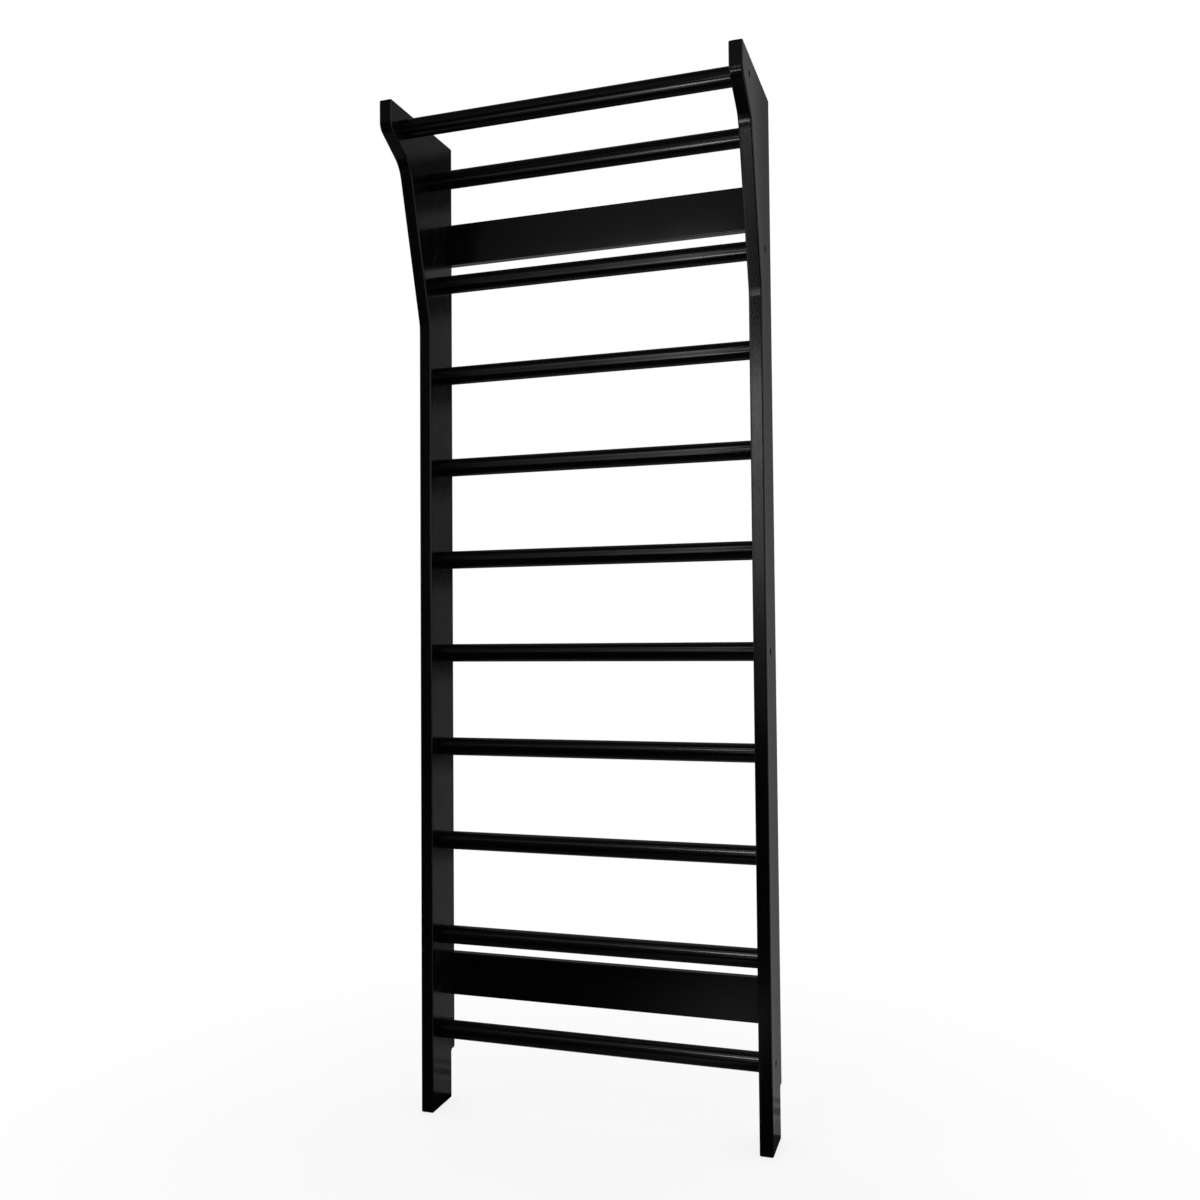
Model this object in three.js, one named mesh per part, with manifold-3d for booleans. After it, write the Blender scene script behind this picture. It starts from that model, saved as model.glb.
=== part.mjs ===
// Swedish wall bars: a tall wooden ladder that stands on the floor and is screwed to a wall.
// Two flat uprights carry eleven round rungs and two flat wall rails. Millimetres, +Z up, the wall on the
// +Y side and the climber on the -Y side. The origin is the middle of the part's footprint, on the floor.
import * as THREE from "three";
import { mergeVertices } from "three/addons/utils/BufferGeometryUtils.js";
import Module from "manifold-3d";

// Whole object
const OVERALL_WIDTH = 742; // outer face to outer face of the uprights
const FIT_GAP = 0.3; // clearance between pieces that seat on each other

// Rungs
const RUNG_DIAMETER = 38;
const LADDER_RUNGS = 9; // rungs in the straight ladder
const FIRST_RUNG_HEIGHT = 164; // floor to the axis of the lowest rung
const RUNG_PITCH = 200; // axis to axis
const RUNG_TO_WALL = 66; // wall to the axis of the ladder rungs
const HIGH_RUNG_RISE = 217; // ladder's top rung up to the high rung
const HIGH_RUNG_TO_WALL = 98;
const PULL_UP_RISE = 66; // high rung up to the pull-up bar
const PULL_UP_TO_WALL = 217;

// Uprights, side outline
const UPRIGHT_THICKNESS = 27;
const RUNG_TO_FRONT = 42; // ladder rung axis to the upright's straight front edge
const BEND_DROP = 96; // front edge starts to lean out this far below the ladder's top rung
const HEAD_NOSE = 65; // pull-up bar axis to the front of the head
const HEAD_OVERHANG = 83; // head's front stands this far out from the throat under it
const THROAT_DROP = 69; // throat below the pull-up bar axis
const CHIN_DROP = 22; // lower front corner of the head below the pull-up bar axis
const CREST_RISE = 47; // pull-up bar axis up to the rear top corner
const CREST_FALL = 11; // the top edge falls this much from rear to front
const BEND_RADIUS = 80;
const THROAT_RADIUS = 55;
const CHIN_RADIUS = 24;
const UPRIGHT_EDGE_ROUND = 3; // rounded arris along both faces
const CORNER_EASE = 1; // plain corners of the outline are rounder than the arris by this much

// Notch for a skirting board at the foot
const SKIRTING_DEPTH = 16;
const SKIRTING_HEIGHT = 102;
const SKIRTING_RADIUS = 5;

// Wall rails
const RAIL_HEIGHT = 90;
const RAIL_THICKNESS = 20;
const RAIL_EDGE_ROUND = 2;
const LOWER_RAIL_RISE = 103; // lowest rung axis up to the middle of the lower rail
const UPPER_RAIL_RISE = 105; // ladder's top rung axis up to the middle of the upper rail

// Bolts through the uprights, and the threaded inserts they screw into
const BOLT_DIAMETER = 6;
const BOLT_LENGTH = 35; // under the head
const BOLT_HEAD_DIAMETER = 10;
const BOLT_HEAD_HEIGHT = 6;
const BOLT_SINK = 2; // head below the upright's outer face
const BOLT_RECESS_CLEARANCE = 2; // round the head
const HEX_ACROSS_FLATS = 5;
const HEX_DEPTH = 3;
const WEB_THICKNESS = 7; // wood left between a bolt's recess and the rung's socket
const INSERT_WALL = 1.7;
const INSERT_LENGTH = 25;
const BOLT_TIP_ROOM = 2; // hole past the bolt's tip

// Dowels between the rails' ends and the uprights
const DOWEL_DIAMETER = 8;
const DOWEL_IN_UPRIGHT = 15;
const DOWEL_IN_RAIL = 20;
const DOWEL_INSET = 20; // rail's long edge to the dowel's axis

// Facets
const RUNG_SIDES = 24;
const BOLT_SIDES = 16;
const DOWEL_SIDES = 12;
const HEX_SIDES = 6;
const ARC_STEPS = 3;
const ARRIS_STEPS = 2;
const MERGE_DISTANCE = 1e-4;
const CUT_PAST = 1; // a cutting solid reaches this far past the face that it opens

// Places worked out from the sizes above, with the wall at y = 0 and the front towards -y
const innerHalfWidth = OVERALL_WIDTH / 2 - UPRIGHT_THICKNESS;
const uprightMiddle = OVERALL_WIDTH / 2 - UPRIGHT_THICKNESS / 2;
const ladderTop = FIRST_RUNG_HEIGHT + (LADDER_RUNGS - 1) * RUNG_PITCH;
const highRungHeight = ladderTop + HIGH_RUNG_RISE;
const pullUpHeight = highRungHeight + PULL_UP_RISE;
const crestHeight = pullUpHeight + CREST_RISE;
const uprightDepth = RUNG_TO_WALL + RUNG_TO_FRONT;
const headDepth = PULL_UP_TO_WALL + HEAD_NOSE;
const recessDepth = BOLT_SINK + BOLT_HEAD_HEIGHT + FIT_GAP;
const socketDepth = UPRIGHT_THICKNESS - recessDepth - WEB_THICKNESS;
const rungHalfLength = innerHalfWidth + socketDepth - FIT_GAP;
const boltTip = OVERALL_WIDTH / 2 - BOLT_SINK - BOLT_HEAD_HEIGHT - BOLT_LENGTH;
const boltBoreDepth = rungHalfLength - boltTip + BOLT_TIP_ROOM;
const insertBoreDepth = Math.max(boltBoreDepth, INSERT_LENGTH + FIT_GAP);
const railLength = 2 * (innerHalfWidth - FIT_GAP);
const dowelLength = DOWEL_IN_UPRIGHT + DOWEL_IN_RAIL;
const cornerRadius = UPRIGHT_EDGE_ROUND + CORNER_EASE;
const skirtingRadius = Math.min(SKIRTING_RADIUS, SKIRTING_DEPTH / 2);
const boltHoleDiameter = BOLT_DIAMETER + 2 * FIT_GAP;
const insertDiameter = boltHoleDiameter + 2 * INSERT_WALL;
const dowelHoleDiameter = DOWEL_DIAMETER + 2 * FIT_GAP;

const blackLacquer = new THREE.MeshStandardMaterial({ color: 0x0c0c0d, roughness: 0.32, metalness: 0 });
const blackSteel = new THREE.MeshStandardMaterial({ color: 0x18181a, roughness: 0.4, metalness: 0.9 });
const zincSteel = new THREE.MeshStandardMaterial({ color: 0xb9b8b2, roughness: 0.35, metalness: 1 });
const beech = new THREE.MeshStandardMaterial({ color: 0xc8a06a, roughness: 0.7, metalness: 0 });

const wasm = await Module();
wasm.setup();

// A closed three.js geometry as a solid that can be cut.
function solidOf(geometry) {
  const bare = geometry.clone();
  bare.deleteAttribute("normal");
  bare.deleteAttribute("uv");
  const merged = mergeVertices(bare, MERGE_DISTANCE);
  const vertProperties = merged.attributes.position.array;
  const triVerts = new Uint32Array(merged.index.array);
  return new wasm.Manifold(new wasm.Mesh({ numProp: 3, vertProperties, triVerts }));
}

// One solid less all the cutting geometries, as a three.js geometry.
function cut(geometry, cutters) {
  const left = cutters.reduce((solid, cutter) => solid.subtract(solidOf(cutter)), solidOf(geometry));
  const { vertProperties, triVerts } = left.getMesh();
  const made = new THREE.BufferGeometry();
  made.setAttribute("position", new THREE.BufferAttribute(vertProperties, 3));
  made.setIndex(new THREE.BufferAttribute(triVerts, 1));
  made.computeVertexNormals();
  return made;
}

// A round bar along X between two ends, on the axis at y, z.
function barAlongX(diameter, from, to, sides, y = 0, z = 0) {
  const bar = new THREE.CylinderGeometry(diameter / 2, diameter / 2, Math.abs(to - from), sides);
  bar.rotateZ(Math.PI / 2);
  bar.translate((from + to) / 2, y, z);
  return bar;
}

// A closed outline whose corners, given as [y, z, radius], are rounded by arcs.
function roundedOutline(corners) {
  const shape = new THREE.Shape();
  const count = corners.length;
  corners.forEach(([y, z, radius], i) => {
    const corner = new THREE.Vector2(y, z);
    const [backY, backZ] = corners[(i + count - 1) % count];
    const [nextY, nextZ] = corners[(i + 1) % count];
    const back = new THREE.Vector2(backY, backZ).sub(corner).normalize();
    const next = new THREE.Vector2(nextY, nextZ).sub(corner).normalize();
    const half = Math.acos(back.dot(next)) / 2;
    const start = corner.clone().addScaledVector(back, radius / Math.tan(half));
    const end = corner.clone().addScaledVector(next, radius / Math.tan(half));
    const inward = back.clone().add(next).normalize();
    const centre = corner.clone().addScaledVector(inward, radius / Math.sin(half));
    const from = start.clone().sub(centre).angle();
    const to = end.clone().sub(centre).angle();
    const clockwise = back.cross(next) > 0;
    shape.absarc(centre.x, centre.y, radius, from, to, clockwise);
  });
  shape.closePath();
  return shape;
}

// An outline in the Y-Z plane made solid along X, in the middle of X, with its arrises rounded.
function board(outline, thickness, arris) {
  const made = new THREE.ExtrudeGeometry(outline, {
    depth: thickness - 2 * arris,
    curveSegments: ARC_STEPS,
    bevelEnabled: arris > 0,
    bevelThickness: arris,
    bevelSize: arris,
    bevelOffset: -arris,
    bevelSegments: ARRIS_STEPS,
  });
  made.translate(0, 0, arris - thickness / 2);
  const toSide = new THREE.Matrix4().makeBasis(
    new THREE.Vector3(0, 1, 0),
    new THREE.Vector3(0, 0, 1),
    new THREE.Vector3(1, 0, 0),
  );
  return made.applyMatrix4(toSide);
}

// Every rung as { name, y, z, bolted }, from the floor up.
function rungPlaces() {
  const boltedLadderRungs = [1, Math.ceil(LADDER_RUNGS / 2), LADDER_RUNGS];
  const places = [];
  for (let i = 1; i <= LADDER_RUNGS; i++) {
    const z = FIRST_RUNG_HEIGHT + (i - 1) * RUNG_PITCH;
    places.push({ name: `rung_${i}`, y: -RUNG_TO_WALL, z, bolted: boltedLadderRungs.includes(i) });
  }
  places.push({ name: "high_rung", y: -HIGH_RUNG_TO_WALL, z: highRungHeight, bolted: false });
  places.push({ name: "pull_up_bar", y: -PULL_UP_TO_WALL, z: pullUpHeight, bolted: true });
  return places;
}

// Both rails as { name, z }.
function railPlaces() {
  return [
    { name: "lower_rail", z: FIRST_RUNG_HEIGHT + LOWER_RAIL_RISE },
    { name: "upper_rail", z: ladderTop + UPPER_RAIL_RISE },
  ];
}

// Every dowel at one end of the rails as { name, z }.
function dowelPlaces() {
  const reach = RAIL_HEIGHT / 2 - DOWEL_INSET;
  return railPlaces().flatMap(({ name, z }) => [
    { name: `dowel_${name}_low`, z: z - reach },
    { name: `dowel_${name}_high`, z: z + reach },
  ]);
}

// The upright's side outline: straight back, skirting notch, straight front, lean, throat and head.
function uprightOutline() {
  return roundedOutline([
    [0, crestHeight, cornerRadius],
    [-headDepth, crestHeight - CREST_FALL, cornerRadius],
    [-headDepth, pullUpHeight - CHIN_DROP, CHIN_RADIUS],
    [HEAD_OVERHANG - headDepth, pullUpHeight - THROAT_DROP, THROAT_RADIUS],
    [-uprightDepth, ladderTop - BEND_DROP, BEND_RADIUS],
    [-uprightDepth, 0, cornerRadius],
    [-SKIRTING_DEPTH, 0, cornerRadius],
    [-SKIRTING_DEPTH, SKIRTING_HEIGHT, skirtingRadius],
    [0, SKIRTING_HEIGHT, skirtingRadius],
  ]);
}

// One upright about the middle of its thickness. side is -1 on the left and 1 on the right.
function upright(side) {
  const inner = (-side * UPRIGHT_THICKNESS) / 2;
  const outer = -inner;
  const cutters = [];
  for (const { y, z, bolted } of rungPlaces()) {
    const socketFloor = inner + side * socketDepth;
    const mouth = inner - side * CUT_PAST;
    cutters.push(barAlongX(RUNG_DIAMETER + 2 * FIT_GAP, mouth, socketFloor, RUNG_SIDES, y, z));
    if (!bolted) continue;
    const recessFloor = outer - side * recessDepth;
    const recessDiameter = BOLT_HEAD_DIAMETER + 2 * BOLT_RECESS_CLEARANCE;
    const past = outer + side * CUT_PAST;
    cutters.push(barAlongX(recessDiameter, past, recessFloor, BOLT_SIDES, y, z));
    cutters.push(barAlongX(boltHoleDiameter, past, mouth, BOLT_SIDES, y, z));
  }
  for (const { z } of dowelPlaces()) {
    const floor = inner + side * (DOWEL_IN_UPRIGHT + FIT_GAP);
    const mouth = inner - side * CUT_PAST;
    cutters.push(barAlongX(dowelHoleDiameter, mouth, floor, DOWEL_SIDES, -RAIL_THICKNESS / 2, z));
  }
  return cut(board(uprightOutline(), UPRIGHT_THICKNESS, UPRIGHT_EDGE_ROUND), cutters);
}

// A rung about its own middle. A bolted one has a bore in each end for its insert.
function rung(bolted) {
  const bar = barAlongX(RUNG_DIAMETER, -rungHalfLength, rungHalfLength, RUNG_SIDES);
  const bores = [-1, 1].map((side) => {
    const mouth = side * (rungHalfLength + CUT_PAST);
    const floor = side * (rungHalfLength - insertBoreDepth);
    return barAlongX(insertDiameter + 2 * FIT_GAP, mouth, floor, BOLT_SIDES);
  });
  return cut(bar, bolted ? bores : []);
}

// A wall rail, centred along X and Z, its back on y = 0, with dowel holes in both ends.
function rail() {
  const half = RAIL_HEIGHT / 2;
  const outline = roundedOutline([
    [0, half, RAIL_EDGE_ROUND],
    [-RAIL_THICKNESS, half, RAIL_EDGE_ROUND],
    [-RAIL_THICKNESS, -half, RAIL_EDGE_ROUND],
    [0, -half, RAIL_EDGE_ROUND],
  ]);
  const holes = [-1, 1].flatMap((side) => {
    const mouth = side * (innerHalfWidth + CUT_PAST);
    const floor = side * (innerHalfWidth - DOWEL_IN_RAIL - FIT_GAP);
    const reach = half - DOWEL_INSET;
    const y = -RAIL_THICKNESS / 2;
    return [-reach, reach].map((z) => barAlongX(dowelHoleDiameter, mouth, floor, DOWEL_SIDES, y, z));
  });
  return cut(board(outline, railLength, 0), holes);
}

// A socket-head bolt along X, its head's seat at x = 0 and its shank towards -side.
function bolt(side) {
  const headRadius = BOLT_HEAD_DIAMETER / 2;
  const shankRadius = BOLT_DIAMETER / 2;
  const profile = [
    [0, -BOLT_LENGTH],
    [shankRadius, -BOLT_LENGTH],
    [shankRadius, 0],
    [headRadius, 0],
    [headRadius, BOLT_HEAD_HEIGHT],
    [0, BOLT_HEAD_HEIGHT],
  ].map(([radius, along]) => new THREE.Vector2(radius, along));
  const body = new THREE.LatheGeometry(profile, BOLT_SIDES);
  const hexRadius = HEX_ACROSS_FLATS / 2 / Math.cos(Math.PI / HEX_SIDES);
  const hexHeight = HEX_DEPTH + CUT_PAST;
  const hex = new THREE.CylinderGeometry(hexRadius, hexRadius, hexHeight, HEX_SIDES);
  hex.translate(0, BOLT_HEAD_HEIGHT - HEX_DEPTH + hexHeight / 2, 0);
  return cut(body, [hex]).rotateZ((-side * Math.PI) / 2);
}

// A threaded insert, a tube along X about its own middle.
function insert() {
  const outer = insertDiameter / 2;
  const bore = boltHoleDiameter / 2;
  const half = INSERT_LENGTH / 2;
  const profile = [
    [bore, -half],
    [outer, -half],
    [outer, half],
    [bore, half],
    [bore, -half],
  ].map(([radius, along]) => new THREE.Vector2(radius, along));
  return new THREE.LatheGeometry(profile, BOLT_SIDES).rotateZ(Math.PI / 2);
}

function place(group, name, geometry, material, x, y, z) {
  const mesh = new THREE.Mesh(geometry, material);
  mesh.name = name;
  mesh.position.set(x, y, z);
  group.add(mesh);
}

const wallBars = new THREE.Group();
const atWall = new THREE.Group();
atWall.position.y = headDepth / 2;
wallBars.add(atWall);

for (const { name, y, z, bolted } of rungPlaces()) {
  place(atWall, name, rung(bolted), blackLacquer, 0, y, z);
}
for (const { name, z } of railPlaces()) {
  place(atWall, name, rail(), blackLacquer, 0, 0, z);
}
for (const [hand, side] of [["left", -1], ["right", 1]]) {
  place(atWall, `${hand}_upright`, upright(side), blackLacquer, side * uprightMiddle, 0, 0);
  for (const { name, y, z, bolted } of rungPlaces()) {
    if (!bolted) continue;
    const boltSeat = OVERALL_WIDTH / 2 - BOLT_SINK - BOLT_HEAD_HEIGHT;
    const insertMiddle = rungHalfLength - INSERT_LENGTH / 2;
    place(atWall, `${hand}_bolt_${name}`, bolt(side), blackSteel, side * boltSeat, y, z);
    place(atWall, `${hand}_insert_${name}`, insert(), zincSteel, side * insertMiddle, y, z);
  }
  for (const { name, z } of dowelPlaces()) {
    const dowelMiddle = innerHalfWidth + (DOWEL_IN_UPRIGHT - DOWEL_IN_RAIL) / 2;
    const dowel = barAlongX(DOWEL_DIAMETER, -dowelLength / 2, dowelLength / 2, DOWEL_SIDES);
    place(atWall, `${hand}_${name}`, dowel, beech, side * dowelMiddle, -RAIL_THICKNESS / 2, z);
  }
}

export default wallBars;
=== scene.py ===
"""Black-lacquered wall bars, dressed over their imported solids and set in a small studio.

Every new piece is a numpy surface in metres, in the solids' own frame: +Z up, the wall on the +Y side and
+X to the right as seen from the front.
"""
import math
from collections import namedtuple

import bpy
import numpy as np
from bpy.props import FloatProperty, FloatVectorProperty, PointerProperty
from bpy.types import Operator, Panel, PropertyGroup
from mathutils import Matrix, Vector
from mathutils.geometry import delaunay_2d_cdt


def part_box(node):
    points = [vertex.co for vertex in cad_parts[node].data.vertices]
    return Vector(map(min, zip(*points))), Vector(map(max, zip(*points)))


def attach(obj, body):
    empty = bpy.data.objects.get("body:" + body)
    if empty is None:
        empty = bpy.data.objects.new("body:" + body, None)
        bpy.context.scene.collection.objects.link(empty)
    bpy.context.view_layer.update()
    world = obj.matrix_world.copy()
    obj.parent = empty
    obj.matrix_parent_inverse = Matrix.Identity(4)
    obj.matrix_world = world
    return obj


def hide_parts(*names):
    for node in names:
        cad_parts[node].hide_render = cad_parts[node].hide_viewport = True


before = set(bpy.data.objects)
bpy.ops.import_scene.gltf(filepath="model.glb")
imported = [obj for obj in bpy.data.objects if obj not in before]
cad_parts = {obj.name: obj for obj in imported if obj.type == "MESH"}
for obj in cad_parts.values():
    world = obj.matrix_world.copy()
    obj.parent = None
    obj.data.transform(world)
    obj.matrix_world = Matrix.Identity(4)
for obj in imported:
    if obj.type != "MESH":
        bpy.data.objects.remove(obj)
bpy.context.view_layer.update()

bl_info = {
    "name": "Wall Bars Finish",
    "version": (1, 0, 0),
    "blender": (4, 5, 0),
    "location": "3D View > Sidebar > Wall Bars",
    "description": "Dresses the packed wall bars in black lacquer and sets a studio round them",
    "category": "Object",
}

BODY = "root"
LACQUER_SLOT = "black_lacquer"
BOLT_SLOT = "bolt_steel"

# Fineness of the surfaces
ARC_STEPS = 12
ARRIS_STEPS = 5
RUNG_SIDES = 96
BORE_SIDES = 64
BOLT_SIDES = 96
KNURL_RIDGES = 24
HEX_SIDES = 6
FLOOR_SIDES = 64
FLOOR_RINGS = 8
SUPPORT = 0.0006  # a row of points this far inside each flat keeps its shading flat
SHARP_ANGLE = math.radians(32)
MERGE_DISTANCE = 1e-7

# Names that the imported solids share
HANDS = {"left": -1, "right": 1}
NODES = sorted(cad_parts)
HIGH_RUNGS = ("high_rung", "pull_up_bar")
RUNGS = [node for node in NODES if node.startswith("rung_") or node in HIGH_RUNGS]
RAILS = [node for node in NODES if node.endswith("_rail")]
BOLTS = [node for node in NODES if "_bolt_" in node]
INSERTS = [node for node in NODES if "_insert_" in node]
DOWELS = [node for node in NODES if "_dowel_" in node]
BOLTED_RUNGS = {node.split("_bolt_")[1] for node in BOLTS}
TOP_LADDER_RUNG = "rung_9"


def box(node):
    """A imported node's lowest and highest corners as arrays."""
    low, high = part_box(node)
    return np.array(low), np.array(high)


def middle(node):
    """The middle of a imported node's box."""
    return sum(box(node)) / 2


def extent(node):
    """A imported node's width, depth and height."""
    low, high = box(node)
    return high - low


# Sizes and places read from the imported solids
INNER_X = float(box("right_upright")[0][0])
OUTER_X = float(box("right_upright")[1][0])
WALL_Y = float(box("right_upright")[1][1])
HEAD_DEPTH = float(extent("right_upright")[1])
RUNG_END_X = float(box("rung_1")[1][0])
RUNG_RADIUS = float(extent("rung_1")[2]) / 2
DOWEL_RADIUS = float(extent(DOWELS[0])[2]) / 2
DOWEL_TIP_X = float(np.abs(box(DOWELS[0])).max(0)[0])
DOWEL_HEEL_X = float(np.abs(box(DOWELS[0])).min(0)[0])
INSERT_RADIUS = float(extent(INSERTS[0])[2]) / 2
BOLT_TOP_X = float(np.abs(box(BOLTS[0])).max(0)[0])
BOLT_TIP_X = float(np.abs(box(BOLTS[0])).min(0)[0])
BOLT_HEAD_RADIUS = float(extent(BOLTS[0])[2]) / 2


def length(name, description, default):
    """A length that a user may change, in metres."""
    return FloatProperty(name=name, description=description, default=default, unit="LENGTH", precision=4)


def share(name, description, default):
    """A plain number that a user may change."""
    return FloatProperty(name=name, description=description, default=default, precision=4)


def angle(name, description, degrees):
    """An angle that a user may change."""
    return FloatProperty(name=name, description=description, default=math.radians(degrees), unit="ROTATION")


def colour(name, description, default):
    """A colour that a user may change, in linear light."""
    return FloatVectorProperty(name=name, description=description, default=default, size=3, subtype="COLOR")


class WallBarsSizes(PropertyGroup):
    """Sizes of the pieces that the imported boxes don't give by themselves."""

    rung_to_front: length("Rung to front", "Ladder rung axis to the upright's straight front edge", 0.042)
    bend_drop: length("Bend drop", "Ladder's top rung down to where the front edge leans out", 0.096)
    head_overhang: length("Head overhang", "Front of the head out from the throat under it", 0.083)
    throat_drop: length("Throat drop", "Pull-up bar axis down to the throat", 0.069)
    chin_drop: length("Chin drop", "Pull-up bar axis down to the head's lower front corner", 0.022)
    crest_rise: length("Crest rise", "Pull-up bar axis up to the rear top corner", 0.047)
    crest_fall: length("Crest fall", "Fall of the top edge from rear to front", 0.011)
    bend_radius: length("Bend radius", "Rounding where the front edge leans out", 0.080)
    throat_radius: length("Throat radius", "Hollow rounding under the head", 0.055)
    chin_radius: length("Chin radius", "Rounding of the head's lower front corner", 0.024)
    corner_radius: length("Corner radius", "Rounding of the upright's plain corners", 0.004)
    upright_arris: length("Upright arris", "Rounding along both faces of an upright", 0.003)
    skirting_depth: length("Skirting depth", "Notch for a skirting board, from the wall", 0.016)
    skirting_height: length("Skirting height", "Notch for a skirting board, from the floor", 0.102)
    skirting_radius: length("Skirting radius", "Rounding of the notch's corners", 0.005)
    rail_arris: length("Rail arris", "Rounding along a rail's long edges", 0.002)
    end_ease: length("End ease", "Rounding round the ends of rails", 0.0004)
    rung_chamfer: length("Rung chamfer", "Chamfer round a rung's ends", 0.001)
    fit_gap: length("Fit gap", "Clearance between pieces that seat on each other", 0.0003)
    mouth_chamfer: length("Mouth chamfer", "Chamfer round the mouth of a socket", 0.0003)
    recess_chamfer: length("Recess chamfer", "Chamfer round a bolt's recess", 0.0003)
    recess_clearance: length("Recess clearance", "Room round a bolt's head", 0.002)
    bolt_shank_radius: length("Bolt shank radius", "Half the bolt's diameter", 0.003)
    bolt_head_height: length("Bolt head height", "Height of the bolt's head", 0.006)
    bolt_tip_room: length("Bolt tip room", "Hole past the bolt's tip", 0.002)
    bolt_chamfer: length("Bolt chamfer", "Chamfer round the bolt's head and tip", 0.0006)
    knurl_depth: length("Knurl depth", "Depth of the ridges round the bolt's head", 0.0002)
    hex_across_flats: length("Hex across flats", "Width of the bolt's key socket", 0.005)
    hex_depth: length("Hex depth", "Depth of the bolt's key socket", 0.003)


class WallBarsFinish(PropertyGroup):
    """Colours and textures of the finishes."""

    black: colour("Black", "Deepest tone of the lacquer", (0.0004, 0.0004, 0.0004))
    thin_black: colour("Thin black", "Tone where the lacquer lies thin over the grain", (0.0016, 0.0015, 0.0015))
    rubbed: colour("Rubbed", "Tone of the lacquer along rubbed edges", (0.008, 0.0077, 0.0075))
    dust: colour("Dust", "Colour of the dust on upward faces", (0.055, 0.052, 0.048))
    gloss_low: share("Roughness, smooth", "Roughness where the lacquer has flowed out", 0.15)
    gloss_high: share("Roughness, dull", "Roughness where the lacquer lies over open grain", 0.22)
    grain_width: length("Grain width", "Spacing of the wood's pores across the grain", 0.0011)
    grain_stretch: share("Grain stretch", "How many times longer the pores are than wide", 45.0)
    peel_width: length("Peel width", "Spacing of the lacquer's ripple", 0.006)
    ply_thickness: length("Ply thickness", "Layers of the board that show along its edges", 0.0014)
    relief: length("Relief", "Height of the grain and ripple under the lacquer", 0.000022)
    steel_black: colour("Blackened steel", "Bolts", (0.030, 0.030, 0.032))
    steel_bare: colour("Bare steel", "Bolts' rubbed edges", (0.22, 0.21, 0.20))
    zinc: colour("Zinc", "Threaded inserts", (0.62, 0.61, 0.58))
    zinc_dull: colour("Dull zinc", "Threaded inserts, dulled patches", (0.40, 0.40, 0.40))
    beech: colour("Beech", "Dowels", (0.58, 0.35, 0.15))
    beech_dark: colour("Dark beech", "Dowels' grain", (0.40, 0.21, 0.08))


class WallBarsStage(PropertyGroup):
    """The camera, the light and the floor."""

    camera_place: FloatVectorProperty(
        name="Camera place",
        description="Where the camera stands",
        default=(0.74376, -2.16128, 0.99053),
        size=3,
        subtype="TRANSLATION",
        unit="LENGTH",
    )
    camera_yaw: angle("Camera yaw", "Turn of the view to the left", 17.9484)
    camera_pitch: angle("Camera pitch", "Tilt of the view upwards", 1.9768)
    camera_roll: angle("Camera roll", "Turn of the picture about the view", -0.4736)
    camera_lens: FloatProperty(
        name="Lens", description="Focal length on a 36 mm sensor", default=34.175, unit="CAMERA"
    )
    ambient: share("Ambient", "Even light from all round", 0.85)
    # Wall levels: the light of a glowing sheet that only mirrored rays see, a painted reflection of a wall, with
    # painted shade under each rung
    wall_glow: share("Wall glow", "Mirrored wall behind, near the floor", 0.20)
    wall_dim: share("Wall dim", "Mirrored wall behind, at the head", 0.10)
    wall_shade: share("Wall shade", "Share of the wall's light left right under a rung", 0.2)
    room_glow: share("Room glow", "Dim room in front, straight ahead and downwards", 0.03)
    ceiling_glow: share("Ceiling glow", "Room in front, upwards", 0.13)
    top_glow: share("Top glow", "Room overhead", 0.03)
    left_dim: share("Left dim", "Share of the room's light that is left towards the left", 0.35)
    side_glow: share("Side glow", "Mirrored room to the sides and behind", 0.9)
    # Floor levels from here to the floor shade light a painted reflection of the floor that only mirrored rays see;
    # the floor glow is a painted pool of light
    side_floor: share("Side floor", "Mirrored floor to the sides and behind", 0.55)
    floor_glow: share("Floor glow", "Shine of the floor in front on the right that the lower pieces mirror", 0.36)
    floor_under: share("Floor under", "Mirrored floor straight below the bars", 0.045)
    floor_shade: share("Floor shade", "Mirrored floor elsewhere", 0.004)
    floor_colour: colour("Floor colour", "Pale floor", (0.86, 0.86, 0.85))
    floor_white: share("Floor white", "How far the floor fades into the white backdrop", 0.80)


SoftBox = namedtuple("SoftBox", "name place aim width height spread level")
LampRow = namedtuple("LampRow", "name y z height aim_z spread parts")

# Soft boxes: where each stands, the point it faces, its size, its spread in degrees and how bright its face is
SOFT_BOXES = (
    SoftBox("top_right_panel", (-0.04, -1.45, 2.65), (-0.04, -1.25, 0.0), 0.33, 0.90, 84, 3.8),
    SoftBox("top_left_panel", (-0.45, -1.45, 2.65), (-0.45, -1.25, 0.0), 0.49, 0.90, 84, 1.2),
    SoftBox("back_strip", (0.00, 3.60, 1.50), (0.00, 0.10, 1.20), 0.90, 2.20, 180, 1.8),
    SoftBox("left_back_panel", (-2.60, 1.80, 1.70), (0.00, 0.10, 1.10), 0.80, 1.80, 180, 2.0),
    SoftBox("right_back_panel", (3.00, 1.10, 1.70), (0.30, 0.10, 1.10), 0.80, 1.80, 180, 2.0),
)

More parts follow.
